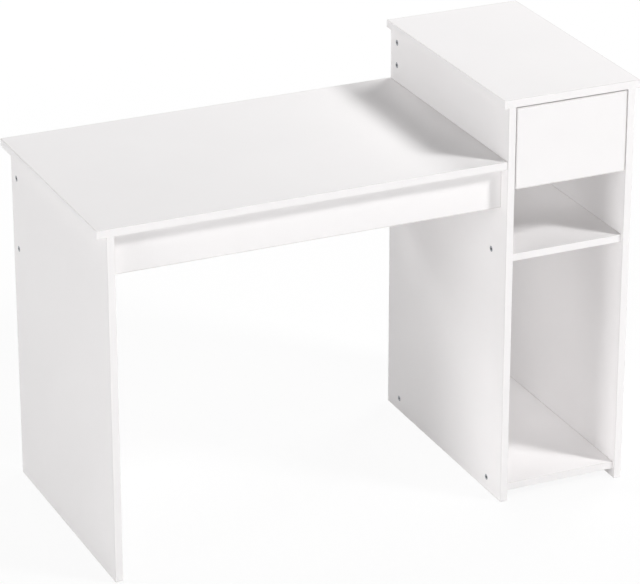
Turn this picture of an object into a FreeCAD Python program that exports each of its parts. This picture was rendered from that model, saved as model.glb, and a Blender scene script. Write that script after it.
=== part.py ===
"""Writing desk with a raised cabinet: open shelves below one drawer on roller runners.

Millimetres. The origin lies on the floor at the middle of the desk's outline, +X points to the
cabinet, +Y to the back and +Z up. Every board, fitting and runner is a piece of its own.
"""
import FreeCAD, Part
import os
import re
import Sketcher
from FreeCAD import Placement, Rotation, Vector

# Driving sizes. Each one can be set by itself.
SIZES = {
    # The desk as a whole
    "desk_length": 838,  # free end of the desktop to the cabinet's side
    "depth": 520,  # front of the cabinet to the back
    "desk_height": 725,  # floor to the top of the desktop
    "cabinet_width": 272,  # over the cabinet's two sides
    "cabinet_rise": 125,  # cabinet's top above the desktop
    "cabinet_overhang": 10,  # cabinet's top past each side
    "desktop_overhang": 20,  # desktop past the leg
    "front_setback": 2,  # desktop and leg behind the cabinet's front
    # Boards
    "board": 15,  # thickness of the uprights, shelves, apron and drawer front
    "top_board": 16,  # thickness of the desktop and of the cabinet's top
    "arris": 0.5,  # broken edge of every board
    "overrun": 1,  # cuts past the edges that they leave
    "apron_height": 86,
    "apron_setback": 26,  # apron behind the cabinet's front
    "modesty_height": 270,
    "rail_height": 100,
    "back_inset": 20,  # modesty panel and rail in front of the back edge
    "bottom_lift": 20,  # cabinet's bottom above the floor
    "shelf_recess": 6,  # shelf and bottom behind the cabinet's front
    "open_shelf_height": 136.5,  # shelf to the drawer front's lower edge
    # Drawer
    "drawer_gap": 2.5,  # gap round the drawer front
    "drawer_front_height": 165,
    "drawer_board": 12,  # thickness of the drawer's sides and back
    "drawer_side_height": 110,
    "drawer_lift": 22,  # drawer's sides above the front's lower edge
    "drawer_rear_gap": 70,  # drawer's end to the back rail
    "hardboard": 3,  # thickness of the drawer's bottom
    "groove_lift": 8,  # bottom's groove above the sides' lower edges
    "groove_depth": 5,
    "groove_clearance": 0.2,
    "tongue_clearance": 0.5,  # bottom's edge to the end of its groove
    # Roller runners
    "side_gap": 12.5,  # drawer's side to the cabinet's side
    "steel": 1.2,  # thickness of the runners' strip
    "front_roller_diameter": 18,
    "rear_roller_diameter": 16.8,
    "roller_width": 5,
    "roller_edge": 0.6,  # bevel on a roller's rim
    "roller_gap": 2.5,  # rollers to the cabinet's side
    "roller_clearance": 0.3,  # rollers to what they run on
    "roller_headroom": 0.5,  # rear roller to the channel's upper lip
    "roller_proud": 0.8,  # front roller above its channel
    "roller_inset": 13,  # rollers' centres to the runners' ends
    "roller_play": 0.2,  # rollers' flat sides to their rivets
    "bore_clearance": 0.08,  # rollers' bores round their rivets
    "lip_clearance": 0.8,  # channel's lower lip to the drawer's member
    "lip_relief": 1,  # upper lip behind the front roller
    "flange_lift": 2,  # drawer member's foot above the channel's foot
    "flange_gap": 2,  # drawer member's upper flange to the cabinet's side
    "runner_front_gap": 2,  # runners behind the drawer's front
    "runner_overlap": 100,  # drawer left in the cabinet when it is pulled out
    "stop_height": 5,  # bent-up stop on the channel's foot
    "rivet_tail": 4,
    "rivet_shoulder": 8,
    "rivet_pin": 5,
    "rivet_head": 8,
    "rivet_head_height": 0.8,
    # Fittings
    "fit_clearance": 0.15,  # holes round what sits in them
    "blind_skin": 4,  # wood left under a blind hole in a face
    "fitting_inset": 64,  # first cam bolt from the front or back edge
    "dowel_pitch": 32,  # cam bolt to the dowel beside it
    "confirmat_head": 12,
    "confirmat_head_height": 3,
    "confirmat_shank": 7,
    "confirmat_core": 5,
    "confirmat_length": 50,
    "confirmat_tip": 4,
    "confirmat_point": 2.5,  # across the blunt end
    "confirmat_socket": 5,  # across the flats
    "confirmat_socket_depth": 4,
    "shelf_screw_front": 63,
    "shelf_screw_back": 54,
    "modesty_screw_inset": 61,
    "rail_screw_inset": 26,
    "cam_diameter": 15,
    "cam_skin": 2.5,  # wood left under a cam's pocket
    "cam_reach": 34,  # joint face to the cam's centre
    "cam_slot_clearance": 0.3,  # slot round the bolt's head
    "cam_cross_width": 1.6,
    "cam_cross_depth": 2,
    "bolt_thread": 5,
    "bolt_collar": 7.5,
    "bolt_collar_length": 1.5,
    "bolt_shaft": 6,
    "bolt_neck": 4,
    "bolt_neck_length": 2.5,
    "bolt_head_length": 3,
    "dowel_diameter": 8,
    "dowel_length": 30,
    "dowel_bevel": 1,
    "dowel_end_gap": 1,
    # The drawer's smaller fittings
    "drawer_fitting_inset": 30,  # from the sides' upper and lower edges
    "drawer_cam_diameter": 12,
    "drawer_cam_skin": 2,
    "drawer_cam_reach": 24,
    "drawer_bolt_thread": 4,
    "drawer_bolt_collar": 6,
    "drawer_bolt_shaft": 4.5,
    "drawer_bolt_neck": 3,
    "drawer_dowel_diameter": 6,
    "drawer_dowel_length": 25,
    # Wood screws
    "screw_head": 6.6,
    "screw_shank": 3.5,
    "screw_tip": 3,
    "screw_end_gap": 1,  # pilot hole past a screw's tip
    "runner_screw_length": 12,
    "back_screw_length": 40,
    "back_screw_head_height": 2,
    "flange_screw_head": 6,
    "flange_screw_crown": 4,  # flat on top of the round head
    "flange_screw_head_height": 1.4,
    "flange_screw_shank": 3,
    "flange_screw_length": 10,
    "flange_screw_inset": 4,  # from the drawer side's outer face
}

# Places of the runners' screws, as shares of the runner's length
CABINET_SCREW_SHARES = (0.16, 0.5, 0.84)
DRAWER_SCREW_SHARES = (0.1, 0.5, 0.9)

# Places and sizes that follow from the driving ones
PLACES = {
    "desk_left": "-(desk_length + cabinet_width + cabinet_overhang) / 2",
    "cabinet_left": "desk_left + desk_length",
    "cabinet_right": "cabinet_left + cabinet_width",
    "cabinet_middle": "cabinet_left + cabinet_width / 2",
    "inside_left": "cabinet_left + board",
    "inside_right": "cabinet_right - board",
    "inside_width": "cabinet_width - 2 * board",
    "leg_left": "desk_left + desktop_overhang",
    "leg_right": "leg_left + board",
    "knee_width": "cabinet_left - leg_right",
    "front": "-depth / 2",
    "back": "depth / 2",
    "desk_front": "front + front_setback",
    "desk_depth": "depth - front_setback",
    "under_desktop": "desk_height - top_board",
    "cabinet_height": "desk_height + cabinet_rise",
    "under_cabinet_top": "cabinet_height - top_board",
    "apron_front": "front + apron_setback",
    "apron_under": "under_desktop - apron_height",
    "apron_middle": "apron_under + apron_height / 2",
    "apron_centre": "apron_front + board / 2",
    "panel_front": "back - back_inset - board",
    "panel_centre": "panel_front + board / 2",
    "modesty_under": "under_desktop - modesty_height",
    "rail_under": "under_cabinet_top - rail_height",
    "shelf_front": "front + shelf_recess",
    "shelf_depth": "depth - shelf_recess",
    "drawer_under": "under_cabinet_top - drawer_gap - drawer_front_height",
    "shelf_under": "drawer_under - open_shelf_height - board",
    # Drawer box
    "drawer_start": "front + board",
    "drawer_end": "panel_front - drawer_rear_gap",
    "drawer_length": "drawer_end - drawer_start",
    "box_left": "inside_left + side_gap",
    "box_right": "inside_right - side_gap",
    "box_inside": "box_right - box_left - 2 * drawer_board",
    "sides_under": "drawer_under + drawer_lift",
    "sides_top": "sides_under + drawer_side_height",
    "sides_middle": "sides_under + drawer_side_height / 2",
    "drawer_back_centre": "drawer_end - drawer_board / 2",
    "groove_under": "sides_under + groove_lift",
    "groove_top": "groove_under + hardboard + 2 * groove_clearance",
    "tongue": "groove_depth - tongue_clearance",
    "bottom_left": "box_left + drawer_board - tongue",
    "bottom_width": "box_inside + 2 * tongue",
    # Runners: the channel on the cabinet and the member on the drawer
    "travel": "drawer_length - runner_overlap",
    "runner_start": "drawer_start + runner_front_gap",
    "runner_length": "drawer_length - runner_front_gap",
    "runner_end": "runner_start + runner_length",
    "channel_height": "2 * steel + rear_roller_diameter + roller_clearance + roller_headroom",
    "channel_under": "sides_under - steel - flange_lift",
    "channel_web": "side_gap - steel",
    "lower_lip_tip": "steel + lip_clearance",
    "upper_lip_tip": "side_gap - roller_gap - roller_width",
    "member_under": "channel_under + flange_lift",
    "member_height": "channel_height + roller_proud + roller_clearance + steel - flange_lift",
    "member_reach": "drawer_board + side_gap - flange_gap",
    "front_roller_y": "runner_start + roller_inset",
    "front_roller_z": "channel_under + channel_height + roller_proud - front_roller_diameter / 2",
    "rear_roller_y": "runner_end - roller_inset",
    "rear_roller_z": "channel_under + steel + roller_clearance + rear_roller_diameter / 2",
    "out_stop_y": "rear_roller_y - travel - rear_roller_diameter / 2 - roller_clearance - steel",
    "rear_stop_y": "rear_roller_y + rear_roller_diameter / 2 + roller_clearance",
    "roller_far": "roller_gap + roller_width",
    # Fittings
    "fitting_front": "front + fitting_inset",
    "fitting_back": "back - fitting_inset",
    "face_grip": "board - blind_skin",
    "cam_axis": "board / 2",
    "cam_depth": "board - cam_skin",
    "drawer_cam_axis": "drawer_board / 2",
    "drawer_cam_depth": "drawer_board - drawer_cam_skin",
}

FULL_TURN = 360  # degrees
START, END, CENTRE = range(1, 4)  # how a sketch numbers the points of a line or circle
ACROSS, UP = range(-1, -3, -1)  # and its own two axes
X, Y, Z = range(3)

# Directions, as an axis and its sign
WAYS = {"right": (X, 1), "left": (X, -1), "back": (Y, 1), "front": (Y, -1), "up": (Z, 1), "down": (Z, -1)}

# A board's faces: the plane to draw on, the axes across, up and through, whether the face lies at
# the far end, the sign of the plane's normal, and whether a cut into the board follows that normal
FACES = {
    "left": ("YZ_Plane", Y, Z, X, False, 1, True),
    "right": ("YZ_Plane", Y, Z, X, True, 1, False),
    "front": ("XZ_Plane", X, Z, Y, False, -1, False),
    "back": ("XZ_Plane", X, Z, Y, True, -1, True),
    "under": ("XY_Plane", X, Y, Z, False, 1, True),
    "top": ("XY_Plane", X, Y, Z, True, 1, False),
}

NODES = {}  # every finished piece by its label
BOARDS = {}  # each board's low corner and its size
CUTS = []  # features that must take material away
CAM_BOLTS = {"": [], "drawer_": []}
CAM_LOCKS = {"": [], "drawer_": []}
DOWELS = {"": [], "drawer_": []}


def formula(text):
    """Writes the words of a formula as the two sheets' aliases."""

    def alias(match):
        word = match.group()
        if word in SIZES:
            return f"Sizes.{word}"
        return f"Places.{word}" if word in PLACES else word

    return re.sub(r"[a-z_]+", alias, text)


def value(text):
    """The number that a formula gives now."""
    return float(sizes.evalExpression(formula(text)))


def bind(thing, prop, text):
    """Ties a property to a formula."""
    thing.setExpression(prop, formula(text))


def put(thing, place):
    """Ties a piece's position to three formulas."""
    for axis, text in zip("xyz", place):
        bind(thing, f"Placement.Base.{axis}", text)


def new_body(label):
    """An empty body."""
    body = doc.addObject("PartDesign::Body", label)
    body.Label = label
    return body


def new_sketch(body, plane, offset="0"):
    """A sketch on one of a body's own planes, moved along the plane's normal."""
    sketch = body.newObject("Sketcher::SketchObject", f"{body.Name}_sketch")
    support = next(item for item in body.Origin.OriginFeatures if item.Role == plane)
    sketch.AttachmentSupport = [(support, "")]
    sketch.MapMode = "FlatFace"
    bind(sketch, "AttachmentOffset.Base.z", offset)
    return sketch


def tie(sketch, index, point, place):
    """Holds a point of a sketch at its distances from the sketch's origin."""
    for kind, axis, text in (("DistanceX", UP, place[0]), ("DistanceY", ACROSS, place[1])):
        if text == "0":
            sketch.addConstraint(Sketcher.Constraint("PointOnObject", index, point, axis))
        else:
            rule = Sketcher.Constraint(kind, ACROSS, START, index, point, value(text))
            bind(sketch, f"Constraints[{sketch.addConstraint(rule)}]", text)


def outline(sketch, corners):
    """A closed outline of straight lines with every corner tied."""
    points = [Vector(value(across), value(up), 0) for across, up in corners]
    for start, end in zip(points, points[1:] + points[:1]):
        sketch.addGeometry(Part.LineSegment(start, end))
    for index, corner in enumerate(corners):
        last = (index - 1) % len(corners)
        sketch.addConstraint(Sketcher.Constraint("Coincident", last, END, index, START))
        tie(sketch, index, START, corner)


def rectangle(sketch, low, high):
    """An upright rectangle between two corners."""
    outline(sketch, [low, (high[0], low[1]), high, (low[0], high[1])])


def circles(sketch, centres, diameter):
    """Circles of one diameter."""
    for index, centre in enumerate(centres):
        middle = Vector(value(centre[0]), value(centre[1]), 0)
        sketch.addGeometry(Part.Circle(middle, Vector(0, 0, 1), value(diameter) / 2))
        tie(sketch, index, CENTRE, centre)
        if index:
            sketch.addConstraint(Sketcher.Constraint("Equal", 0, index))
    rule = sketch.addConstraint(Sketcher.Constraint("Diameter", 0, value(diameter)))
    bind(sketch, f"Constraints[{rule}]", diameter)


def pad(body, sketch, length, reverse=False):
    """Raises a sketch into a solid."""
    feature = body.newObject("PartDesign::Pad", f"{body.Name}_pad")
    feature.Profile = sketch
    feature.Reversed = reverse
    bind(feature, "Length", length)
    return feature


def pocket(body, sketch, deep, reverse):
    """Cuts a sketch into a solid, or right through it where no depth is given."""
    feature = body.newObject("PartDesign::Pocket", f"{body.Name}_pocket")
    feature.Profile = sketch
    feature.Reversed = reverse
    if deep:
        bind(feature, "Length", deep)
    else:
        feature.Type = "ThroughAll"
    CUTS.append(feature)


def board(label, corner, size):
    """A flat board at its low corner, with all its edges broken."""
    body = new_body(label)
    sketch = new_sketch(body, "XY_Plane")
    rectangle(sketch, ("0", "0"), size[:2])
    blank = pad(body, sketch, size[2])
    doc.recompute()
    chamfer = body.newObject("PartDesign::Chamfer", f"{label}_arris")
    chamfer.Base = (blank, [f"Edge{number}" for number, edge in enumerate(blank.Shape.Edges, start=1)])
    bind(chamfer, "Size", "arris")
    CUTS.append(chamfer)
    put(body, corner)
    BOARDS[label] = (corner, size)
    NODES[label] = body
    return body


def face_place(body, face):
    """Where a board's face lies along the axis through it."""
    corner, size = BOARDS[body.Label]
    through, far = FACES[face][3:5]
    return f"{corner[through]} + {size[through]}" if far else corner[through]


def face_sketch(body, face):
    """A sketch on a board's face, and a function that takes a place in the desk to that sketch."""
    corner, size = BOARDS[body.Label]
    plane, across, up, through, far, sign, follows = FACES[face]
    sketch = new_sketch(body, plane, f"{sign} * ({size[through]})" if far else "0")

    def local(spot):
        return (f"{spot[across]} - ({corner[across]})", f"{spot[up]} - ({corner[up]})")

    return sketch, local, follows


def drill(body, face, spots, diameter, deep):
    """Bores holes of one size into a board's face."""
    sketch, local, follows = face_sketch(body, face)
    circles(sketch, [local(spot) for spot in spots], f"{diameter} + 2 * fit_clearance")
    pocket(body, sketch, deep, follows)


def groove(body, face, low, high, deep):
    """Saws a straight groove into a board's face, between two places."""
    sketch, local, follows = face_sketch(body, face)
    rectangle(sketch, local(low), local(high))
    pocket(body, sketch, deep, follows)


def countersink(body, sketch, centres, head_height, follows):
    """Countersunk through holes for wood screws."""
    circles(sketch, centres, "screw_shank")
    doc.recompute()
    hole = body.newObject("PartDesign::Hole", f"{body.Name}_hole")
    hole.Profile = sketch
    hole.Reversed = follows
    hole.ThreadType = "None"
    hole.DepthType = "ThroughAll"
    bind(hole, "Diameter", "screw_shank + 2 * fit_clearance")
    hole.HoleCutType = "Countersink"
    hole.HoleCutCustomValues = True
    bind(hole, "HoleCutDiameter", "screw_head + 2 * fit_clearance")
    bind(hole, "HoleCutCountersinkAngle", f"2 * atan((screw_head - screw_shank) / 2 / {head_height})")
    CUTS.append(hole)


def confirmat_joint(panel, outer, ends):
    """Stepped holes through a panel from its outer face, and pilot holes in the board ends behind it."""
    spots = [spot for body, chosen in ends for spot in chosen]
    drill(panel, outer, spots, "confirmat_head", "confirmat_head_height")
    drill(panel, outer, spots, "confirmat_shank", None)
    for body, chosen in ends:
        drill(body, outer, chosen, "confirmat_core", "confirmat_length - board + screw_end_gap")


def row_of(x, rows, z, way):
    """Fittings at one height, one behind the other."""
    return [(x, y, z, way) for y in rows]


def cam_joint(panel, face, body, end, lock_face, spots, make=""):
    """Cam bolts out of a panel's face into a board's end, and the cam locks that draw them tight."""
    drill(panel, face, spots, f"{make}bolt_thread", "face_grip")
    drill(body, end, spots, f"{make}bolt_collar", f"{make}cam_reach")
    through = FACES[lock_face][3]
    locks = []
    for spot in spots:
        axis, sign = WAYS[spot[3]]
        place = list(spot[:3])
        place[axis] = f"{spot[axis]} + {sign} * {make}cam_reach"
        place[through] = face_place(body, lock_face)
        opening = next(way for way in WAYS if WAYS[way] == (axis, -sign))
        locks.append((*place, opening, lock_face.replace("under", "down")))
    drill(body, lock_face, locks, f"{make}cam_diameter", f"{make}cam_depth")
    CAM_BOLTS[make].extend(spots)
    CAM_LOCKS[make].extend(locks)


def dowel_joint(panel, face, body, end, spots, make=""):
    """Dowels between a panel's face and a board's end."""
    drill(panel, face, spots, f"{make}dowel_diameter", "face_grip")
    drill(body, end, spots, f"{make}dowel_diameter", f"{make}dowel_length - face_grip + dowel_end_gap")
    DOWELS[make].extend(spots)


def turned(label, half_section):
    """A piece turned about its own X axis from half of its section."""
    body = new_body(label)
    sketch = new_sketch(body, "XZ_Plane")
    outline(sketch, half_section)
    turn = body.newObject("PartDesign::Revolution", f"{label}_turn")
    turn.Profile = sketch
    turn.ReferenceAxis = (sketch, ["H_Axis"])
    turn.Angle = FULL_TURN
    return body


def heading(way):
    """A direction as a vector."""
    axis, sign = WAYS[way]
    return Vector(*(sign if other == axis else 0 for other in (X, Y, Z)))


def group(label, fitting, spots):
    """One copy of a fitting at each spot, as a group of separate solids.

    A spot is a place, the way that the fitting's X axis points and, for a cam lock, the way that
    its slotted face looks.
    """
    copies = []
    for number, spot in enumerate(spots, start=1):
        copy = doc.addObject("App::Link", f"{label}_{number}")
        copy.LinkedObject = fitting
        along = heading(spot[3])
        if len(spot) > 4:
            turn = Rotation(along, Vector(), heading(spot[4]), "XZY")
        else:
            turn = Rotation(Vector(1, 0, 0), along)
        copy.Placement = Placement(Vector(), turn)
        put(copy, spot[:3])
        copies.append(copy)
    NODES[label] = doc.addObject("Part::Compound", label)
    NODES[label].Links = copies


def block(label, size, corner):
    """A plain block at its low corner."""
    box = doc.addObject("Part::Box", label)
    for prop, length in zip(("Length", "Width", "Height"), size):
        bind(box, prop, length)
    put(box, corner)
    return box


def cam_lock(label, make=""):
    """A cam lock: a drum with a screwdriver cross in its face and a slot in its side for the bolt's head."""
    drum = doc.addObject("Part::Cylinder", f"{label}_drum")
    bind(drum, "Radius", f"{make}cam_diameter / 2")
    bind(drum, "Height", f"{make}cam_depth")
    put(drum, ("0", "0", f"-{make}cam_depth"))
    slot = f"({make}bolt_shaft + 2 * cam_slot_clearance)"
    slot_corner = (f"-{slot}", f"-{slot} / 2", f"-{make}cam_axis - {slot} / 2")
    bar = f"({make}cam_diameter / 2)"
    width, deep = "cam_cross_width", "cam_cross_depth"
    hollow = doc.addObject("Part::MultiFuse", f"{label}_hollow")
    hollow.Shapes = [
        block(f"{label}_slot", (f"{make}cam_diameter", slot, slot), slot_corner),
        block(f"{label}_bar", (bar, width, deep), (f"-{bar} / 2", f"-{width} / 2", f"-{deep}")),
        block(f"{label}_beam", (width, bar, deep), (f"-{width} / 2", f"-{bar} / 2", f"-{deep}")),
    ]
    lock = doc.addObject("Part::Cut", label)
    lock.Base = drum
    lock.Tool = hollow
    return lock


def cam_bolt(label, make=""):
    """A cam bolt: thread in the panel, collar on the joint face, shaft, neck and head."""
    neck_start = f"{make}cam_reach - bolt_head_length / 2 - bolt_neck_length"
    head_start = f"{make}cam_reach - bolt_head_length / 2"
    head_end = f"{make}cam_reach + bolt_head_length / 2"
    return turned(label, [
        ("-face_grip", "0"),
        ("-face_grip", f"{make}bolt_thread / 2"),
        ("0", f"{make}bolt_thread / 2"),
        ("0", f"{make}bolt_collar / 2"),
        ("bolt_collar_length", f"{make}bolt_collar / 2"),
        ("bolt_collar_length", f"{make}bolt_shaft / 2"),
        (neck_start, f"{make}bolt_shaft / 2"),
        (neck_start, f"{make}bolt_neck / 2"),
        (head_start, f"{make}bolt_neck / 2"),
        (head_start, f"{make}bolt_shaft / 2"),
        (head_end, f"{make}bolt_shaft / 2"),
        (head_end, "0"),
    ])


def dowel(label, make=""):
    """A beech dowel with bevelled ends, part of it in the panel's face."""
    end = f"{make}dowel_length - face_grip"
    radius = f"{make}dowel_diameter / 2"
    return turned(label, [
        ("-face_grip", "0"),
        ("-face_grip", f"{radius} - dowel_bevel"),
        ("-face_grip + dowel_bevel", radius),
        (f"{end} - dowel_bevel", radius),
        (end, f"{radius} - dowel_bevel"),
        (end, "0"),
    ])


def countersunk_screw(label, head_height, length):
    """A flat-headed wood screw, its head level with the face at zero."""
    return turned(label, [
        ("0", "0"),
        ("0", "screw_head / 2"),
        (head_height, "screw_shank / 2"),
        (f"{length} - screw_tip", "screw_shank / 2"),
        (length, "0"),
    ])


def pan_screw(label):
    """A round-headed wood screw, its head standing on the face at zero."""
    return turned(label, [
        ("-flange_screw_head_height", "0"),
        ("-flange_screw_head_height", "flange_screw_crown / 2"),
        ("0", "flange_screw_head / 2"),
        ("0", "flange_screw_shank / 2"),
        ("flange_screw_length - screw_tip", "flange_screw_shank / 2"),
        ("flange_screw_length", "0"),
    ])


def confirmat_screw(label):
    """A one-piece connector screw: flat head with a hexagon socket, smooth shank and thinner core."""
    blank = turned(f"{label}_blank", [
        ("0", "0"),
        ("0", "confirmat_head / 2"),
        ("confirmat_head_height", "confirmat_head / 2"),
        ("confirmat_head_height", "confirmat_shank / 2"),
        ("board", "confirmat_shank / 2"),
        ("board", "confirmat_core / 2"),
        ("confirmat_length - confirmat_tip", "confirmat_core / 2"),
        ("confirmat_length", "confirmat_point / 2"),
        ("confirmat_length", "0"),
    ])
    socket = doc.addObject("Part::Prism", f"{label}_socket")
    bind(socket, "Circumradius", "confirmat_socket / sqrt(3)")
    bind(socket, "Height", "confirmat_socket_depth + overrun")
    socket.Placement = Placement(Vector(), Rotation(Vector(0, 0, 1), Vector(1, 0, 0)))
    put(socket, ("-overrun", "0", "0"))
    screw = doc.addObject("Part::Cut", label)
    screw.Base = blank
    screw.Tool = socket
    return screw


def roller(label, diameter, place):
    """A nylon roller with a bevelled rim, running on the pin of its rivet."""
    bore = "rivet_pin / 2 + bore_clearance"
    body = turned(label, [
        ("0", bore),
        ("0", f"{diameter} / 2 - roller_edge"),
        ("roller_edge", f"{diameter} / 2"),
        ("roller_width - roller_edge", f"{diameter} / 2"),
        ("roller_width", f"{diameter} / 2 - roller_edge"),
        ("roller_width", bore),
    ])
    put(body, place)
    NODES[label] = body


def rivet(label, pin_start, pin_end):
    """A shoulder rivet: tail in the strip, shoulder up to the roller, pin through it, and a flat head."""
    return turned(label, [
        ("0", "0"),
        ("0", "rivet_tail / 2"),
        ("steel", "rivet_tail / 2"),
        ("steel", "rivet_shoulder / 2"),
        (pin_start, "rivet_shoulder / 2"),
        (pin_start, "rivet_pin / 2"),
        (pin_end, "rivet_pin / 2"),
        (pin_end, "rivet_head / 2"),
        (f"{pin_end} + rivet_head_height", "rivet_head / 2"),
        (f"{pin_end} + rivet_head_height", "0"),
    ])


doc = FreeCAD.newDocument("desk_with_shelves")
sizes = doc.addObject("Spreadsheet::Sheet", "Sizes")
for row, (name, number) in enumerate(SIZES.items(), start=1):
    sizes.set(f"A{row}", str(number))
    sizes.setAlias(f"A{row}", name)
doc.recompute()
places = doc.addObject("Spreadsheet::Sheet", "Places")
for row, (name, text) in enumerate(PLACES.items(), start=1):
    places.set(f"A{row}", "=" + formula(text).replace("Places.", ""))
    places.setAlias(f"A{row}", name)
doc.recompute()

# Desk: top, leg, apron under the front edge and modesty panel at the back
desktop = board(
    "desktop", ("desk_left", "desk_front", "under_desktop"), ("desk_length", "desk_depth", "top_board")
)
left_leg = board("left_leg", ("leg_left", "desk_front", "0"), ("board", "desk_depth", "under_desktop"))
front_apron = board(
    "front_apron", ("leg_right", "apron_front", "apron_under"), ("knee_width", "board", "apron_height")
)
modesty_panel = board(
    "modesty_panel", ("leg_right", "panel_front", "modesty_under"), ("knee_width", "board", "modesty_height")
)

# Cabinet: sides down to the floor, top over them, rail, shelf and bottom between them
side_size = ("board", "depth", "under_cabinet_top")
left_side = board("cabinet_left_side", ("cabinet_left", "front", "0"), side_size)
right_side = board("cabinet_right_side", ("inside_right", "front", "0"), side_size)
cabinet_top = board(
    "cabinet_top",
    ("cabinet_left - cabinet_overhang", "front", "under_cabinet_top"),
    ("cabinet_width + 2 * cabinet_overhang", "depth", "top_board"),
)
rail_size = ("inside_width", "board", "rail_height")
back_rail = board("cabinet_back_rail", ("inside_left", "panel_front", "rail_under"), rail_size)
shelf_size = ("inside_width", "shelf_depth", "board")
shelf = board("cabinet_shelf", ("inside_left", "shelf_front", "shelf_under"), shelf_size)
bottom = board("cabinet_bottom", ("inside_left", "shelf_front", "bottom_lift"), shelf_size)

# Drawer: front, two sides, back above the bottom, and the hardboard bottom in its grooves
drawer_front = board(
    "drawer_front",
    ("inside_left + drawer_gap", "front", "drawer_under"),
    ("inside_width - 2 * drawer_gap", "board", "drawer_front_height"),
)
drawer_side_size = ("drawer_board", "drawer_length", "drawer_side_height")
drawer_left = board("drawer_left_side", ("box_left", "drawer_start", "sides_under"), drawer_side_size)
drawer_right = board(
    "drawer_right_side", ("box_right - drawer_board", "drawer_start", "sides_under"), drawer_side_size
)
drawer_back = board(
    "drawer_back",
    ("box_left + drawer_board", "drawer_end - drawer_board", "groove_top"),
    ("box_inside", "drawer_board", "sides_top - groove_top"),
)
board(
    "drawer_bottom",
    ("bottom_left", "drawer_start - tongue", "groove_under + groove_clearance"),
    ("bottom_width", "drawer_length + tongue", "hardboard"),
)
for body, face in ((drawer_left, "right"), (drawer_right, "left")):
    groove(
        body,
        face,
        ("0", "drawer_start - overrun", "groove_under"),
        ("0", "drawer_end + overrun", "groove_top"),
        "groove_depth",
    )
groove(
    drawer_front,
    "back",
    ("bottom_left - tongue_clearance", "0", "groove_under"),
    ("bottom_left + bottom_width + tongue_clearance", "0", "groove_top"),
    "groove_depth",
)

# Confirmat screws: leg to modesty panel, cabinet's sides to rail, shelf and bottom
modesty_rows = ("under_desktop - modesty_screw_inset", "modesty_under + modesty_screw_inset")
rail_rows = ("under_cabinet_top - rail_screw_inset", "rail_under + rail_screw_inset")
shelf_rows = ("front + shelf_screw_front", "back - shelf_screw_back")
confirmat_spots = [("leg_left", "panel_centre", z, "right") for z in modesty_rows]
confirmat_joint(left_leg, "left", [(modesty_panel, confirmat_spots)])
for panel, outer, x, inward in (
    (left_side, "left", "cabinet_left", "right"),
    (right_side, "right", "cabinet_right", "left"),
):
    rail_spots = [(x, "panel_centre", z, inward) for z in rail_rows]
    shelf_spots = [(x, y, "shelf_under + board / 2", inward) for y in shelf_rows]
    bottom_spots = [(x, y, "bottom_lift + board / 2", inward) for y in shelf_rows]
    confirmat_joint(panel, outer, [(back_rail, rail_spots), (shelf, shelf_spots), (bottom, bottom_spots)])
    confirmat_spots += rail_spots + shelf_spots + bottom_spots

# Cam bolts with a dowel beside each: desktop on the leg and against the cabinet
bolt_rows = ("fitting_front", "fitting_back")
dowel_rows = ("fitting_front + dowel_pitch", "fitting_back - dowel_pitch")
leg_middle = "leg_left + board / 2"
desktop_axis = "under_desktop + cam_axis"
cam_joint(desktop, "under", left_leg, "top", "right", row_of(leg_middle, bolt_rows, "under_desktop", "down"))
dowel_joint(desktop, "under", left_leg, "top", row_of(leg_middle, dowel_rows, "under_desktop", "down"))
side_bolts = row_of("cabinet_left", bolt_rows, desktop_axis, "left")
cam_joint(left_side, "left", desktop, "right", "under", side_bolts)
dowel_joint(left_side, "left", desktop, "right", row_of("cabinet_left", dowel_rows, desktop_axis, "left"))

# The same fittings hold the cabinet's top on its sides
for panel, middle, inner in (
    (left_side, "cabinet_left + board / 2", "right"),
    (right_side, "cabinet_right - board / 2", "left"),
):
    top_bolts = row_of(middle, bolt_rows, "under_cabinet_top", "down")
    cam_joint(cabinet_top, "under", panel, "top", inner, top_bolts)
    dowel_joint(cabinet_top, "under", panel, "top", row_of(middle, dowel_rows, "under_cabinet_top", "down"))

# The apron's ends, and the modesty panel's end at the cabinet
apron_bolt = "apron_middle + dowel_pitch / 2"
apron_dowel = "apron_middle - dowel_pitch / 2"
for panel, face, end, x, way in (
    (left_leg, "right", "left", "leg_right", "right"),
    (left_side, "left", "right", "cabinet_left", "left"),
):
    cam_joint(panel, face, front_apron, end, "back", [(x, "apron_centre", apron_bolt, way)])
    dowel_joint(panel, face, front_apron, end, [(x, "apron_centre", apron_dowel, way)])
modesty_bolts = [("cabinet_left", "panel_centre", z, "left") for z in modesty_rows]
cam_joint(left_side, "left", modesty_panel, "right", "back", modesty_bolts)

# Drawer joints: small cam bolts and a dowel in the front, screws through the sides into the back
drawer_rows = ("sides_under + drawer_fitting_inset", "sides_top - drawer_fitting_inset")
back_screw_spots = []
for body, middle, inner, outer, x, inward in (
    (drawer_left, "box_left + drawer_board / 2", "right", "left", "box_left", "right"),
    (drawer_right, "box_right - drawer_board / 2", "left", "right", "box_right", "left"),
):
    front_spots = [(middle, "drawer_start", z, "back") for z in drawer_rows]
    cam_joint(drawer_front, "back", body, "front", inner, front_spots, "drawer_")
    dowel_spots = [(middle, "drawer_start", "sides_middle", "back")]
    dowel_joint(drawer_front, "back", body, "front", dowel_spots, "drawer_")
    spots = [(x, "drawer_back_centre", z, inward) for z in drawer_rows]
    sketch, local, follows = face_sketch(body, outer)
    countersink(body, sketch, [local(spot) for spot in spots], "back_screw_head_height", follows)
    drill(drawer_back, outer, spots, "screw_shank", "back_screw_length - drawer_board + screw_end_gap")
    back_screw_spots += spots

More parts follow.
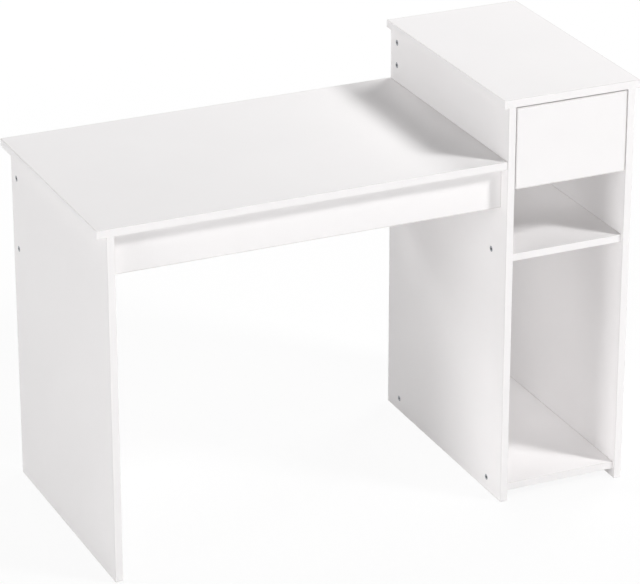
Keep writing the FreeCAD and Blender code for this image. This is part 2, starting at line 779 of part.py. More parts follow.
# Runner on the cabinet's right side: a channel of bent strip with a stop at each end of the roller's way
channel = new_body("cabinet_runner_right")
section = new_sketch(channel, "XZ_Plane")
outline(section, [
    ("lower_lip_tip", "0"),
    ("side_gap", "0"),
    ("side_gap", "channel_height"),
    ("upper_lip_tip", "channel_height"),
    ("upper_lip_tip", "channel_height - steel"),
    ("channel_web", "channel_height - steel"),
    ("channel_web", "steel"),
    ("lower_lip_tip", "steel"),
])
pad(channel, section, "runner_length", reverse=True)
lip_end = "roller_inset + front_roller_diameter / 2 + lip_relief"
relief = new_sketch(channel, "XY_Plane", "channel_height")
rectangle(relief, ("0", "-overrun"), ("channel_web", lip_end))
pocket(channel, relief, "steel", reverse=False)
rear_stop = new_sketch(channel, "XZ_Plane", "runner_start - rear_stop_y")
rectangle(rear_stop, ("upper_lip_tip", "steel"), ("channel_web", "channel_height - steel"))
pad(channel, rear_stop, "steel", reverse=True)
out_stop = new_sketch(channel, "XZ_Plane", "runner_start - out_stop_y")
rectangle(out_stop, ("upper_lip_tip", "steel"), ("side_gap - roller_gap", "steel + stop_height"))
pad(channel, out_stop, "steel", reverse=True)
holes = new_sketch(channel, "YZ_Plane", "channel_web")
centres = [(f"{share} * runner_length", "channel_height / 2") for share in CABINET_SCREW_SHARES]
countersink(channel, holes, centres, "steel", True)
rivet_hole = new_sketch(channel, "YZ_Plane", "channel_web")
circles(rivet_hole, [("roller_inset", "front_roller_z - channel_under")], "rivet_tail + 2 * fit_clearance")
pocket(channel, rivet_hole, None, reverse=True)
put(channel, ("box_right", "runner_start", "channel_under"))

# Runner on the drawer's right side: bent strip, its foot under the side and its flange over the front roller
member = new_body("drawer_runner_right")
section = new_sketch(member, "XZ_Plane")
outline(section, [
    ("0", "0"),
    ("drawer_board + steel", "0"),
    ("drawer_board + steel", "member_height - steel"),
    ("member_reach", "member_height - steel"),
    ("member_reach", "member_height"),
    ("drawer_board", "member_height"),
    ("drawer_board", "steel"),
    ("0", "steel"),
])
pad(member, section, "runner_length", reverse=True)
holes = new_sketch(member, "XY_Plane")
screw_line = "drawer_board - flange_screw_inset"
centres = [(screw_line, f"{share} * runner_length") for share in DRAWER_SCREW_SHARES]
circles(holes, centres, "flange_screw_shank + 2 * fit_clearance")
pocket(member, holes, None, reverse=True)
rivet_hole = new_sketch(member, "YZ_Plane", "drawer_board")
rivet_place = ("runner_length - roller_inset", "rear_roller_z - member_under")
circles(rivet_hole, [rivet_place], "rivet_tail + 2 * fit_clearance")
pocket(member, rivet_hole, None, reverse=True)
put(member, ("box_right - drawer_board", "runner_start", "member_under"))

# The left runners mirror the right ones
for part_name, source in (("cabinet_runner", channel), ("drawer_runner", member)):
    NODES[f"{part_name}_right"] = source
    mirror = doc.addObject("Part::Mirroring", f"{part_name}_left")
    mirror.Source = source
    mirror.Normal = Vector(1, 0, 0)
    bind(mirror, "Base.x", "cabinet_middle")
    NODES[f"{part_name}_left"] = mirror

# Nylon rollers, in front on the channels and at the rear on the drawer
for hand, x in (("left", "inside_left + roller_gap"), ("right", "inside_right - roller_far")):
    roller(f"front_roller_{hand}", "front_roller_diameter", (x, "front_roller_y", "front_roller_z"))
    roller(f"rear_roller_{hand}", "rear_roller_diameter", (x, "rear_roller_y", "rear_roller_z"))

# Shoulder rivets that carry the rollers
front_rivet = rivet("front_rivet", "roller_gap - roller_play", "roller_far + roller_play")
rear_pin = ("side_gap - roller_far - roller_play", "side_gap - roller_gap + roller_play")
rear_rivet = rivet("rear_rivet", *rear_pin)
group("front_roller_rivets", front_rivet, [
    ("inside_left", "front_roller_y", "front_roller_z", "right"),
    ("inside_right", "front_roller_y", "front_roller_z", "left"),
])
group("rear_roller_rivets", rear_rivet, [
    ("box_left", "rear_roller_y", "rear_roller_z", "left"),
    ("box_right", "rear_roller_y", "rear_roller_z", "right"),
])

# Screws of the runners, and their pilot holes
channel_spots = []
member_spots = []
channel_middle = "channel_under + channel_height / 2"
for panel, face, head, way, body, foot in (
    (left_side, "right", "inside_left + steel", "left", drawer_left, "box_left + flange_screw_inset"),
    (right_side, "left", "inside_right - steel", "right", drawer_right, "box_right - flange_screw_inset"),
):
    rows = [f"runner_start + {share} * runner_length" for share in CABINET_SCREW_SHARES]
    spots = row_of(head, rows, channel_middle, way)
    drill(panel, face, spots, "screw_shank", "runner_screw_length - steel + screw_end_gap")
    channel_spots += spots
    rows = [f"runner_start + {share} * runner_length" for share in DRAWER_SCREW_SHARES]
    spots = row_of(foot, rows, "member_under", "up")
    drill(body, "under", spots, "flange_screw_shank", "flange_screw_length - steel + screw_end_gap")
    member_spots += spots
channel_screw = countersunk_screw("channel_screw", "steel", "runner_screw_length")
back_screw = countersunk_screw("back_screw", "back_screw_head_height", "back_screw_length")
group("cabinet_runner_screws", channel_screw, channel_spots)
group("drawer_runner_screws", pan_screw("member_screw"), member_spots)
group("drawer_back_screws", back_screw, back_screw_spots)

# Fittings of the desk and of the drawer
group("confirmat_screws", confirmat_screw("confirmat"), confirmat_spots)
for make in ("", "drawer_"):
    group(f"{make}cam_locks", cam_lock(f"{make}cam_lock", make), CAM_LOCKS[make])
    group(f"{make}cam_bolts", cam_bolt(f"{make}cam_bolt", make), CAM_BOLTS[make])
    group(f"{make}dowels", dowel(f"{make}dowel", make), DOWELS[make])

doc.recompute()
for item in doc.Objects:
    if {"Invalid", "Error"} & set(item.State):
        raise RuntimeError(f"{item.Label} failed: {item.State}")
for cut in CUTS:
    if not cut.Shape.Volume < cut.BaseFeature.Shape.Volume:
        raise RuntimeError(f"{cut.Label} takes nothing away")
for label, node in NODES.items():
    if node.Shape.isNull() or not node.Shape.isValid():
        raise RuntimeError(f"{label} has no valid shape")

os.makedirs("parts", exist_ok=True)
for label, node in NODES.items():
    node.Shape.exportStep(f"parts/{label}.step")
print(len(NODES), "pieces written")
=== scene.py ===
import math

import bpy
from mathutils import Matrix, Vector


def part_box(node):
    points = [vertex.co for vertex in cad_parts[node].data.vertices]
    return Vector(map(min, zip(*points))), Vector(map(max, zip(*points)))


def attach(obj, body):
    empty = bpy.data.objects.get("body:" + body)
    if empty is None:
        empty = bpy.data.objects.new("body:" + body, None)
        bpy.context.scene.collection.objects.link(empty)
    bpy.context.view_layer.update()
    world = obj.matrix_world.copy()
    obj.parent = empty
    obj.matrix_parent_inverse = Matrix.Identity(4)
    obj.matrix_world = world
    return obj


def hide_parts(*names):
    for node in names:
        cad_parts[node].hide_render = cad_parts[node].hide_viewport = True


# A white writing desk with a raised cabinet, in the order in which it is put together.
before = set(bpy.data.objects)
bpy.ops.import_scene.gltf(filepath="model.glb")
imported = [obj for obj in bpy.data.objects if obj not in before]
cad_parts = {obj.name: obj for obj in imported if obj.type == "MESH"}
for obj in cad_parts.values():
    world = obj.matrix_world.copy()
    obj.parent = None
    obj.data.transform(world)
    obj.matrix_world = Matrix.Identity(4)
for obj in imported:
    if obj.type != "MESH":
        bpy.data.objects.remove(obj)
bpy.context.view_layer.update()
bpy.ops.object.select_all(action="DESELECT")


# Boards of the desk, the cabinet and the drawer.
# Chipboard faced with white melamine paper, sawn to size, its edges covered with a glued white plastic
# band. Holes for the fittings are bored through the paper into the bare chipboard.
MM = 0.001
X, Y, Z = range(3)


def linear(hex_colour):
    """An sRGB hex colour as the linear colour that a shader takes."""
    channels = [int(hex_colour[place:place + 2], 16) / 255 for place in (1, 3, 5)]
    return [c / 12.92 if c <= 0.04045 else ((c + 0.055) / 1.055) ** 2.4 for c in channels] + [1]


def add_node(tree, kind, inputs, **fields):
    """Adds a node, sets its fields, and sets or links its inputs."""
    node = tree.nodes.new(f"ShaderNode{kind}")
    for name, value in fields.items():
        setattr(node, name, value)
    for key, value in inputs.items():
        if isinstance(value, bpy.types.NodeSocket):
            tree.links.new(value, node.inputs[key])
        else:
            node.inputs[key].default_value = value
    return node


def dress(node, material):
    """Gives a CAD node its material."""
    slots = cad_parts[node].data.materials
    slots.clear()
    slots.append(material)


def melamine_board(node, through):
    """White melamine on chipboard, for a board whose thickness lies along the axis given.

    The eye sees a matt white with a faint pearl, a slightly smoother band on the edges, a fine line of
    glue beside it, and bare chips in the bores. The board's own box tells these places apart.
    """
    low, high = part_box(node)
    material = bpy.data.materials.new(f"white_melamine_{node}")
    material.use_nodes = True
    tree = material.node_tree
    shader = tree.nodes["Principled BSDF"]

    # How deep a point lies under each pair of faces. On a banded edge it is deep under the wide faces, and
    # in a bore it is deep under all of them.
    place = add_node(tree, "TexCoord", {}).outputs["Object"]
    place = add_node(tree, "Mapping", {"Vector": place, "Location": -(low + high) / 2}).outputs["Vector"]
    away = add_node(tree, "VectorMath", {0: place}, operation="ABSOLUTE").outputs[0]
    depths = add_node(tree, "VectorMath", {0: (high - low) / 2, 1: away}, operation="SUBTRACT").outputs[0]
    depths = add_node(tree, "SeparateXYZ", {0: depths}).outputs
    edges = [depths[way] for way in (X, Y, Z) if way != through]
    rim = add_node(tree, "Math", {0: edges[0], 1: edges[1]}, operation="MINIMUM").outputs[0]
    nearest = add_node(tree, "Math", {0: rim, 1: depths[through]}, operation="MINIMUM").outputs[0]
    band = {"Value": depths[through], "From Min": 0.5 * MM, "From Max": 0.7 * MM}
    banded = add_node(tree, "MapRange", band).outputs["Result"]
    bored = {"Value": nearest, "From Min": 0.8 * MM, "From Max": 1.0 * MM}
    bored = add_node(tree, "MapRange", bored).outputs["Result"]

    # Paper with a faint cloud of the pulp, 180 mm across, and the plain band
    cloud = {"Vector": place, "Scale": 1 / (180 * MM), "Detail": 3.0}
    cloud = add_node(tree, "TexNoise", cloud).outputs["Fac"]
    paper = {"Factor": cloud, "A": linear("#EDEBEB"), "B": linear("#F1EFEF")}
    paper = add_node(tree, "Mix", paper, data_type="RGBA").outputs["Result"]
    paper = {"Factor": banded, "A": paper, "B": linear("#EFEDED")}
    paper = add_node(tree, "Mix", paper, data_type="RGBA").outputs["Result"]

    # The band's glue shows as a line round each face, 0.2 mm wide on the real board and 0.8 mm here
    glue = add_node(tree, "Math", {0: rim, 1: 1.2 * MM}, operation="SUBTRACT").outputs[0]
    glue = add_node(tree, "Math", {0: glue}, operation="ABSOLUTE").outputs[0]
    glue = {"Value": glue, "From Min": 0.2 * MM, "From Max": 0.4 * MM, "To Min": 1.0, "To Max": 0.0}
    glue = add_node(tree, "MapRange", glue).outputs["Result"]
    paper = {"Factor": glue, "A": paper, "B": linear("#CBC7C3")}
    paper = add_node(tree, "Mix", paper, data_type="RGBA").outputs["Result"]

    # Bare chips, 3 mm long, in the bores
    chips = add_node(tree, "TexVoronoi", {"Vector": place, "Scale": 1 / (3 * MM)}).outputs["Color"]
    chips = add_node(tree, "SeparateXYZ", {0: chips}).outputs[0]
    core = {"Factor": chips, "A": linear("#A98A5E"), "B": linear("#DCC49A")}
    core = add_node(tree, "Mix", core, data_type="RGBA").outputs["Result"]
    colour = {"Factor": bored, "A": paper, "B": core}
    colour = add_node(tree, "Mix", colour, data_type="RGBA").outputs["Result"]

    # The pressed pearl is about 0.5 mm on the real paper, and 2 mm here so that it shows close up
    pearl = {"Vector": place, "Scale": 1 / (2 * MM), "Detail": 2.0}
    pearl = add_node(tree, "TexNoise", pearl).outputs["Fac"]
    gloss = {"Value": pearl, "To Min": 0.78, "To Max": 0.86}
    gloss = add_node(tree, "MapRange", gloss).outputs["Result"]
    gloss = {0: banded, 1: -0.06, 2: gloss}
    gloss = add_node(tree, "Math", gloss, operation="MULTIPLY_ADD").outputs[0]
    relief = {"Strength": 0.25, "Distance": 0.02 * MM, "Height": pearl}
    relief = add_node(tree, "Bump", relief).outputs["Normal"]

    tree.links.new(colour, shader.inputs["Base Color"])
    tree.links.new(gloss, shader.inputs["Roughness"])
    tree.links.new(relief, shader.inputs["Normal"])
    shader.inputs["IOR"].default_value = 1.5
    dress(node, material)


for board in ("left_leg", "cabinet_left_side", "cabinet_right_side", "drawer_left_side", "drawer_right_side"):
    melamine_board(board, X)
for board in ("front_apron", "modesty_panel", "cabinet_back_rail", "drawer_front", "drawer_back"):
    melamine_board(board, Y)
for board in ("desktop", "cabinet_top", "cabinet_shelf", "cabinet_bottom"):
    melamine_board(board, Z)


# Dowels.
# Beech rod, its flutes pressed in so that glue and air can leave the blind hole, cut and bevelled. They
# sit beside the cam bolts and keep the boards from turning.
beech = bpy.data.materials.new("raw_beech")
beech.use_nodes = True
tree = beech.node_tree
place = add_node(tree, "Attribute", {}, attribute_name="own_place").outputs["Vector"]
place = add_node(tree, "Mapping", {"Vector": place, "Scale": (0.12, 1, 1)}).outputs["Vector"]
# Unfinished wood, dull and warm: fibres along the rod, about 0.8 mm apart, with the rays' darker flecks
fibre = add_node(tree, "TexNoise", {"Vector": place, "Scale": 1 / (0.8 * MM), "Detail": 4.0}).outputs["Fac"]
colour = {"Factor": fibre, "A": linear("#B98A5A"), "B": linear("#E0BE92")}
colour = add_node(tree, "Mix", colour, data_type="RGBA").outputs["Result"]
gloss = add_node(tree, "MapRange", {"Value": fibre, "To Min": 0.6, "To Max": 0.75}).outputs["Result"]
relief = add_node(tree, "Bump", {"Strength": 0.4, "Distance": 0.1 * MM, "Height": fibre}).outputs["Normal"]
shader = tree.nodes["Principled BSDF"]
tree.links.new(colour, shader.inputs["Base Color"])
tree.links.new(gloss, shader.inputs["Roughness"])
tree.links.new(relief, shader.inputs["Normal"])


def turned(sections, material, sides=32):
    """A piece turned about its X axis: a disc drawn out from one place and radius to the next, in mm."""
    place, radius = sections[0]
    bpy.ops.mesh.primitive_circle_add(
        vertices=sides,
        radius=radius * MM,
        fill_type="NGON",
        location=(place * MM, 0, 0),
        rotation=(0, math.pi / 2, 0),
    )
    bpy.ops.object.transform_apply()
    bpy.ops.object.mode_set(mode="EDIT")
    bpy.ops.mesh.select_all(action="SELECT")
    for (last, wide), (place, radius) in zip(sections, sections[1:]):
        bpy.ops.mesh.extrude_region_move(TRANSFORM_OT_translate={"value": ((place - last) * MM, 0, 0)})
        spread = radius / wide
        bpy.ops.transform.resize(value=(1, spread, spread), center_override=(place * MM, 0, 0))
    bpy.ops.mesh.select_all(action="SELECT")
    bpy.ops.mesh.normals_make_consistent(inside=False)
    bpy.ops.object.mode_set(mode="OBJECT")
    bpy.context.object.data.materials.append(material)
    return bpy.context.object


def places_in(node):
    """Where a node's fittings lie: for each a matrix whose X axis starts at the fitting's wide end."""
    bpy.ops.object.select_all(action="DESELECT")
    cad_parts[node].select_set(True)
    bpy.context.view_layer.objects.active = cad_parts[node]
    bpy.ops.object.duplicate()
    bpy.ops.object.mode_set(mode="EDIT")
    bpy.ops.mesh.select_all(action="SELECT")
    bpy.ops.mesh.remove_doubles(threshold=0.001 * MM)
    bpy.ops.mesh.separate(type="LOOSE")
    bpy.ops.object.mode_set(mode="OBJECT")
    places = []
    for fitting in list(bpy.context.selected_objects):
        points = [vertex.co.copy() for vertex in fitting.data.vertices]
        low, high = (Vector(end(point[way] for point in points) for way in (X, Y, Z)) for end in (min, max))
        axis = max((X, Y, Z), key=lambda way: high[way] - low[way])
        across = [way for way in (X, Y, Z) if way != axis]
        origin = (low + high) / 2
        away = [math.hypot(*(point[way] - origin[way] for way in across)) for point in points]
        widest = [point[axis] for point, far in zip(points, away) if far > 0.98 * max(away)]
        starts_low = sum(widest) / len(widest) < origin[axis]
        origin[axis] = low[axis] if starts_low else high[axis]
        along = Vector(((1 if starts_low else -1) if way == axis else 0 for way in (X, Y, Z)))
        places.append(Matrix.Translation(origin) @ along.to_track_quat("X", "Z").to_matrix().to_4x4())
        bpy.data.objects.remove(fitting)
    return places


def fit_copies(pattern, node, name, body):
    """Sets a copy of a fitting where each of a node's lies, all joined into the piece that is seen."""
    copies = []
    for place in places_in(node):
        copy = pattern.copy()
        copy.data = pattern.data.copy()
        copy.matrix_world = place
        bpy.context.scene.collection.objects.link(copy)
        copies.append(copy)
    bpy.data.objects.remove(pattern)
    for copy in copies:
        copy.select_set(True)
    piece = bpy.context.view_layer.objects.active = copies[0]
    bpy.ops.object.join()
    bpy.ops.object.transform_apply()
    bpy.ops.object.shade_smooth_by_angle(angle=math.radians(35))
    piece.name = name
    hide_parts(node)
    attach(piece, body)


def dowel(length, radius):
    """A fluted dowel, in mm: every third line of a round rod sunk a little."""
    sides, bevel, sunk = 48, 1, 0.88
    ends = [(0, radius - bevel), (bevel, radius), (length - bevel, radius), (length, radius - bevel)]
    rod = turned(ends, beech, sides)
    for vertex in rod.data.vertices:
        line = round(math.atan2(vertex.co.z, vertex.co.y) / math.tau * sides)
        rim = math.hypot(vertex.co.y, vertex.co.z) > (radius - 0.1) * MM
        vertex.select = rim and line % 3 == 0
    bpy.ops.object.mode_set(mode="EDIT")
    bpy.ops.transform.resize(value=(1, sunk, sunk), center_override=(0, 0, 0))
    bpy.ops.object.mode_set(mode="OBJECT")
    own_place = rod.data.attributes.new("own_place", "FLOAT_VECTOR", "POINT")
    own_place.data.foreach_set("vector", [part for vertex in rod.data.vertices for part in vertex.co])
    return rod


fit_copies(dowel(length=30, radius=4), "dowels", "fluted_dowels", "desk")
fit_copies(dowel(length=25, radius=3), "drawer_dowels", "fluted_drawer_dowels", "drawer")


# Cam fittings.
# Die-cast zinc drums in blind bores, turned with a screwdriver to draw in the head of a plated steel
# bolt. The bolts' coarse threads sit in the faces of the boards, and a cross in the head drives them.
zinc = bpy.data.materials.new("zinc_plated_steel")
zinc.use_nodes = True
tree = zinc.node_tree
place = add_node(tree, "TexCoord", {}).outputs["Object"]
# A soft grey shine, left cloudy by the bath, some 3 mm from spot to spot
cloud = add_node(tree, "TexNoise", {"Vector": place, "Scale": 1 / (3 * MM), "Detail": 4.0}).outputs["Fac"]
colour = {"Factor": cloud, "A": linear("#909297"), "B": linear("#B0B2B6")}
colour = add_node(tree, "Mix", colour, data_type="RGBA").outputs["Result"]
gloss = add_node(tree, "MapRange", {"Value": cloud, "To Min": 0.28, "To Max": 0.42}).outputs["Result"]
shader = tree.nodes["Principled BSDF"]
tree.links.new(colour, shader.inputs["Base Color"])
tree.links.new(gloss, shader.inputs["Roughness"])
shader.inputs["Metallic"].default_value = 1

# Painted shade: a recess (socket or cross) is coloured nearly black and dull, for the shade deep inside it
recess_painted_shade = bpy.data.materials.new("steel_recess_painted_shade")
recess_painted_shade.use_nodes = True
tree = recess_painted_shade.node_tree
place = add_node(tree, "TexCoord", {}).outputs["Object"]
cloud = add_node(tree, "TexNoise", {"Vector": place, "Scale": 1 / (1 * MM), "Detail": 4.0}).outputs["Fac"]
colour = {"Factor": cloud, "A": linear("#2A2B2D"), "B": linear("#45474A")}
colour = add_node(tree, "Mix", colour, data_type="RGBA").outputs["Result"]
shader = tree.nodes["Principled BSDF"]
tree.links.new(colour, shader.inputs["Base Color"])
shader.inputs["Roughness"].default_value = 0.6
shader.inputs["Metallic"].default_value = 0.7


def add_thread(piece, start, end, pitch, root, crest):
    """Winds a pointed ridge round a screw: a triangle carried along a helix, its foot inside the core."""
    # Three points on a circle stand 1.5 radii tall
    tall = (crest - root) / 1.5
    middle = (start * MM, (root + tall / 2) * MM, 0)
    bpy.ops.mesh.primitive_circle_add(vertices=3, radius=MM, location=middle)
    ridge = bpy.context.object
    ridge.scale = (0.45 * pitch, tall, 1)
    bpy.ops.object.transform_apply()
    bpy.ops.object.modifier_add(type="SCREW")
    helix = ridge.modifiers[-1]
    helix.axis = "X"
    helix.screw_offset = pitch * MM
    helix.iterations = int((end - start) / pitch)
    helix.steps = helix.render_steps = 16
    bpy.ops.object.modifier_apply(modifier=helix.name)
    bpy.ops.object.mode_set(mode="EDIT")
    bpy.ops.mesh.select_all(action="SELECT")
    bpy.ops.mesh.fill_holes(sides=3)
    bpy.ops.mesh.normals_make_consistent(inside=False)
    bpy.ops.object.mode_set(mode="OBJECT")
    ridge.data.materials.append(piece.data.materials[0])
    piece.select_set(True)
    bpy.context.view_layer.objects.active = piece
    bpy.ops.object.join()


def cut(piece, cutter, material):
    """Takes a cutter out of a piece and leaves the new faces in the material given."""
    cutter.data.materials.append(material)
    bpy.context.view_layer.objects.active = piece
    bpy.ops.object.modifier_add(type="BOOLEAN")
    hollow = piece.modifiers[-1]
    hollow.operation = "DIFFERENCE"
    hollow.object = cutter
    hollow.material_mode = "TRANSFER"
    bpy.ops.object.modifier_apply(modifier=hollow.name)
    bpy.data.objects.remove(cutter)


def cross_cut(piece, face, width, length, deep):
    """Cuts a screwdriver's cross into a piece's end, in mm."""
    for spread in ((width, length), (length, width)):
        bpy.ops.mesh.primitive_cube_add(size=MM, location=(face * MM, 0, 0))
        bpy.context.object.scale = (2 * deep, *spread)
        bpy.ops.object.transform_apply()
        # The cross's faces take the painted shade of a recess
        cut(piece, bpy.context.object, recess_painted_shade)


def cam_bolt(thread, collar, shaft, neck, reach):
    """A cam bolt by its diameters and its reach, from the joint to the middle of its head, in mm."""
    grip, collar_length, neck_length, head_length = 11, 1.5, 2.5, 3
    core = thread / 2 - 0.8
    collar_end = grip + collar_length
    head_start = grip + reach - head_length / 2
    head_end = head_start + head_length
    neck_start = head_start - neck_length
    sections = [(0, core / 2), (1.2, core), (grip, core)]
    sections += [(grip, collar / 2), (collar_end, collar / 2), (collar_end, shaft / 2)]
    sections += [(neck_start, shaft / 2), (neck_start, neck / 2), (head_start, neck / 2)]
    sections += [(head_start, shaft / 2 - 0.3), (head_start + 0.3, shaft / 2)]
    sections += [(head_end - 0.5, shaft / 2), (head_end, shaft / 2 - 0.5)]
    bolt = turned(sections, zinc)
    cross_cut(bolt, head_end, width=0.8, length=0.6 * shaft, deep=1.5)
    add_thread(bolt, start=1.5, end=10.5, pitch=1.8, root=core - 0.2, crest=thread / 2)
    return bolt


bolt = cam_bolt(thread=5, collar=7.5, shaft=6, neck=4, reach=34)
fit_copies(bolt, "cam_bolts", "threaded_cam_bolts", "desk")
bolt = cam_bolt(thread=4, collar=6, shaft=4.5, neck=3, reach=24)
fit_copies(bolt, "drawer_cam_bolts", "threaded_drawer_cam_bolts", "drawer")
for locks in ("cam_locks", "drawer_cam_locks"):
    dress(locks, zinc)


# Connector screws.
# Confirmat screws of zinc-plated steel, turned, with a rolled thread. A hexagon key drives them through
# leg and cabinet sides into the ends of panel, rail, shelf and bottom, until the head lies level.
SOCKET, SOCKET_DEPTH = 5, 4  # mm, across the flats
head = [(0, 5.6), (0.4, 6), (3, 6)]
shank = [(3, 3.5), (15, 3.5)]
core = [(15.8, 2.5), (46, 2.5), (50, 1.25)]
confirmat = turned(head + shank + core, zinc, sides=48)
bpy.ops.mesh.primitive_cylinder_add(
    vertices=6,
    radius=SOCKET * MM / math.sqrt(3),
    depth=2 * SOCKET_DEPTH * MM,
    rotation=(0, math.pi / 2, 0),
)
# The socket's faces take the painted shade of a recess
cut(confirmat, bpy.context.object, recess_painted_shade)
add_thread(confirmat, start=18, end=45, pitch=3, root=2.3, crest=3.5)
fit_copies(confirmat, "confirmat_screws", "threaded_confirmat_screws", "desk")


# Roller runners.
# Cold-rolled steel strip bent to a channel on the cabinet and to an angle on the drawer, coated with
# white epoxy powder and screwed on.
epoxy = bpy.data.materials.new("white_epoxy_steel")
epoxy.use_nodes = True
tree = epoxy.node_tree
place = add_node(tree, "TexCoord", {}).outputs["Object"]
# Greyer and shinier than the boards, with the slight orange peel of molten powder, about 2 mm across
peel = add_node(tree, "TexNoise", {"Vector": place, "Scale": 1 / (2 * MM), "Detail": 1.0}).outputs["Fac"]
colour = {"Factor": peel, "A": linear("#E2E1DE"), "B": linear("#EBEAE7")}
colour = add_node(tree, "Mix", colour, data_type="RGBA").outputs["Result"]
gloss = add_node(tree, "MapRange", {"Value": peel, "To Min": 0.3, "To Max": 0.42}).outputs["Result"]
relief = add_node(tree, "Bump", {"Strength": 0.3, "Distance": 0.05 * MM, "Height": peel}).outputs["Normal"]
shader = tree.nodes["Principled BSDF"]
tree.links.new(colour, shader.inputs["Base Color"])
tree.links.new(gloss, shader.inputs["Roughness"])
tree.links.new(relief, shader.inputs["Normal"])
for runner in ("cabinet_runner_left", "cabinet_runner_right", "drawer_runner_left", "drawer_runner_right"):
    dress(runner, epoxy)


# Rollers and their rivets.
# Moulded nylon wheels on shoulder rivets of plated steel. The front pair turns on the cabinet's channels
# and the rear pair on the drawer's angles.
nylon = bpy.data.materials.new("natural_nylon")
nylon.use_nodes = True
tree = nylon.node_tree
place = add_node(tree, "TexCoord", {}).outputs["Object"]
# Slightly yellower than the boards, with the mould's matt skin, about 0.8 mm from spot to spot
skin = add_node(tree, "TexNoise", {"Vector": place, "Scale": 1 / (0.8 * MM), "Detail": 3.0}).outputs["Fac"]
colour = {"Factor": skin, "A": linear("#DEDBCF"), "B": linear("#E8E6DC")}
colour = add_node(tree, "Mix", colour, data_type="RGBA").outputs["Result"]
gloss = add_node(tree, "MapRange", {"Value": skin, "To Min": 0.42, "To Max": 0.55}).outputs["Result"]
shader = tree.nodes["Principled BSDF"]
tree.links.new(colour, shader.inputs["Base Color"])
tree.links.new(gloss, shader.inputs["Roughness"])
shader.inputs["IOR"].default_value = 1.53
for roller in ("front_roller_left", "front_roller_right", "rear_roller_left", "rear_roller_right"):
    dress(roller, nylon)
for rivets in ("front_roller_rivets", "rear_roller_rivets"):
    dress(rivets, zinc)


# Drawer bottom.
# Hardboard 3 mm thick, pressed from wood fibre, lacquered on both faces and sawn. It slides into grooves
# in the drawer's sides and front.
low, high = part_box("drawer_bottom")
hardboard = bpy.data.materials.new("lacquered_hardboard")
hardboard.use_nodes = True
tree = hardboard.node_tree
place = add_node(tree, "TexCoord", {}).outputs["Object"]
place = add_node(tree, "Mapping", {"Vector": place, "Location": -(low + high) / 2}).outputs["Vector"]
# White faces through which the fibre, some 4 mm long, just shows, and dull brown edges
fibre = add_node(tree, "TexNoise", {"Vector": place, "Scale": 1 / (4 * MM), "Detail": 6.0}).outputs["Fac"]
height = add_node(tree, "SeparateXYZ", {0: place}).outputs["Z"]
height = add_node(tree, "Math", {0: height}, operation="ABSOLUTE").outputs[0]
half = (high.z - low.z) / 2
lacquer = {"Value": height, "From Min": half - 0.3 * MM, "From Max": half - 0.1 * MM}
lacquer = add_node(tree, "MapRange", lacquer).outputs["Result"]
brown = {"Factor": fibre, "A": linear("#6E4A2B"), "B": linear("#A67C50")}
brown = add_node(tree, "Mix", brown, data_type="RGBA").outputs["Result"]
white = {"Factor": fibre, "A": linear("#E9E7E7"), "B": linear("#F0EEEE")}
white = add_node(tree, "Mix", white, data_type="RGBA").outputs["Result"]
colour = {"Factor": lacquer, "A": brown, "B": white}
colour = add_node(tree, "Mix", colour, data_type="RGBA").outputs["Result"]
gloss = {"Value": lacquer, "To Min": 0.75, "To Max": 0.42}
gloss = add_node(tree, "MapRange", gloss).outputs["Result"]
relief = {"Strength": 0.3, "Distance": 0.05 * MM, "Height": fibre}
relief = add_node(tree, "Bump", relief).outputs["Normal"]
shader = tree.nodes["Principled BSDF"]
tree.links.new(colour, shader.inputs["Base Color"])
tree.links.new(gloss, shader.inputs["Roughness"])
tree.links.new(relief, shader.inputs["Normal"])
dress("drawer_bottom", hardboard)


# Wood screws.
# Plated chipboard screws with a driver's cross: flat heads in the drawer's back corners and in the
# channels, round heads under the drawer's runners.
def wood_screw(head, length, shank, thread_start):
    """A wood screw from its head's sections, with a thread down to its point, in mm."""
    core = 0.62 * shank
    rest = [(thread_start, shank), (thread_start + 0.6, core), (length - 3, core), (length, 0.1)]
    screw = turned(head + rest, zinc)
    cross_cut(screw, 0, width=0.8, length=1.7 * shank, deep=0.9)
    add_thread(screw, thread_start + 1, length - 2.5, pitch=1.4, root=core - 0.1, crest=shank)
    return screw


flat_head = [(0, 3.1), (0.2, 3.3), (2, 1.75)]
back_screw = wood_screw(flat_head, length=40, shank=1.75, thread_start=12)
fit_copies(back_screw, "drawer_back_screws", "threaded_drawer_back_screws", "drawer")
low_head = [(0, 3.2), (0.1, 3.3), (1.2, 1.75)]
channel_screw = wood_screw(low_head, length=12, shank=1.75, thread_start=2)
fit_copies(channel_screw, "cabinet_runner_screws", "threaded_cabinet_runner_screws", "desk")
round_head = [(0, 1.6), (0.3, 2.2), (0.8, 2.75), (1.4, 3), (1.4, 1.5)]
flange_screw = wood_screw(round_head, length=11.4, shank=1.5, thread_start=2.6)
fit_copies(flange_screw, "drawer_runner_screws", "threaded_drawer_runner_screws", "drawer")


# Floor and surroundings.
# A plain white studio floor without an edge in view. What looks at it directly sees it nearly white
# with a pale shadow, and it throws the real light back at the desk.
FLOOR_SIZE = 40.0
SHADOW_SHARE = 0.09

bpy.ops.mesh.primitive_plane_add(size=FLOOR_SIZE)
floor = bpy.context.object
floor.name = "studio_floor"
paint = bpy.data.materials.new("white_floor_paint")
paint.use_nodes = True
tree = paint.node_tree
shader = tree.nodes["Principled BSDF"]
shader.inputs["Base Color"].default_value = linear("#F0F0F0")
shader.inputs["Roughness"].default_value = 1
shader.inputs["Specular IOR Level"].default_value = 0


def rays_that_see(tree):
    """1 for the rays of the camera, of a reflection or through glass, and 0 for those that light things."""
    rays = add_node(tree, "LightPath", {}).outputs
    seen = {0: rays["Is Camera Ray"], 1: rays["Is Glossy Ray"]}
    seen = add_node(tree, "Math", seen, operation="MAXIMUM").outputs[0]
    seen = {0: seen, 1: rays["Is Transmission Ray"]}
    return add_node(tree, "Math", seen, operation="MAXIMUM").outputs[0]


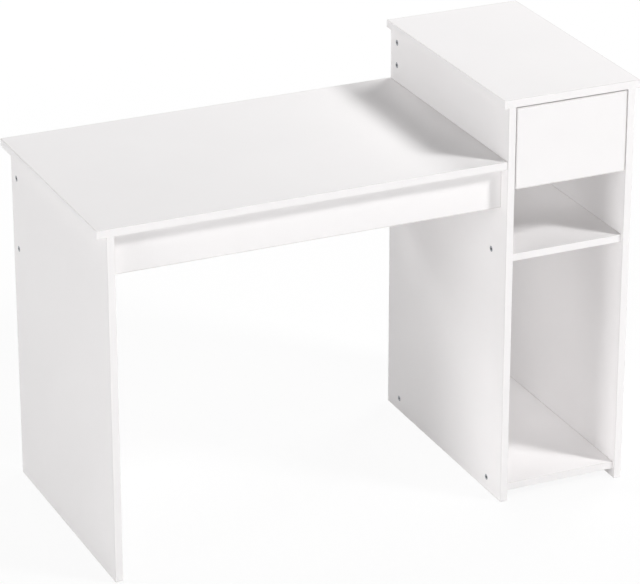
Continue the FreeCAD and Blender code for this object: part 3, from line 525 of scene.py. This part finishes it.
share = {0: rays_that_see(tree), 1: 1 - SHADOW_SHARE}
share = add_node(tree, "Math", share, operation="MULTIPLY").outputs[0]
glow = add_node(tree, "Emission", {"Color": linear("#FFFFFF"), "Strength": 1.0}).outputs[0]
mixed = add_node(tree, "MixShader", {0: share, 1: shader.outputs[0], 2: glow}).outputs[0]
tree.links.new(mixed, tree.nodes["Material Output"].inputs["Surface"])
floor.data.materials.append(paint)

world = bpy.data.worlds.new("white_studio")
bpy.context.scene.world = world
world.use_nodes = True
tree = world.node_tree
tree.nodes["Background"].inputs["Color"].default_value = linear("#FFFFFF")
tree.links.new(rays_that_see(tree), tree.nodes["Background"].inputs["Strength"])


# Lamps.
# Six round soft boxes stand about the desk, 7 m away. The key in front on the right throws the
# cabinet's shadow across the desktop, and those behind shine through the open back of the shelves.
AIM = Vector((0.0, 0.0, 0.6))
LAMP_DISTANCE = 7.0


def soft_box(name, azimuth, elevation, size, level):
    """A soft box that lights a face turned to it as a white surround of that level would.

    Its azimuth goes from the front to the right, in degrees.
    """
    data = bpy.data.lights.new(name, "AREA")
    data.shape = "DISK"
    data.size = size
    data.energy = level * (math.pi * LAMP_DISTANCE) ** 2
    lamp = bpy.data.objects.new(name, data)
    bpy.context.scene.collection.objects.link(lamp)
    lamp.rotation_euler = (math.radians(90 - elevation), 0, math.radians(azimuth))
    towards = lamp.rotation_euler.to_matrix() @ Vector((0, 0, 1))
    lamp.location = AIM + towards * LAMP_DISTANCE


soft_box("key_soft_box", azimuth=46.4, elevation=38.2, size=1.31, level=0.633)
soft_box("front_soft_box", azimuth=-24, elevation=8, size=2.45, level=0.302)
soft_box("left_soft_box", azimuth=-75, elevation=6, size=2.28, level=0.335)
soft_box("left_rear_soft_box", azimuth=-155, elevation=12, size=2.8, level=0.2)
soft_box("rear_soft_box", azimuth=180, elevation=25, size=2.8, level=0.464)
soft_box("right_rear_soft_box", azimuth=120, elevation=45, size=2.8, level=0.386)


# Camera.
# Placed by a fit to the photograph's straight edges and corners. It looks down on the desk from the
# front left.
PHOTO_WIDTH = 640  # pixels
FOCAL_LENGTH = 3438.8  # pixels
CAMERA_PLACE = (-2.5684, -5.6690, 3.1132)
YAW, PITCH = math.radians(24.393), math.radians(23.534)

camera = bpy.data.objects.new("photo_camera", bpy.data.cameras.new("photo_camera"))
bpy.context.scene.collection.objects.link(camera)
camera.data.sensor_fit = "HORIZONTAL"
camera.data.lens = camera.data.sensor_width * FOCAL_LENGTH / PHOTO_WIDTH
camera.location = CAMERA_PLACE
camera.rotation_euler = (math.pi / 2 - PITCH, 0, -YAW)
bpy.context.scene.camera = camera
bpy.context.scene.view_settings.view_transform = "Standard"
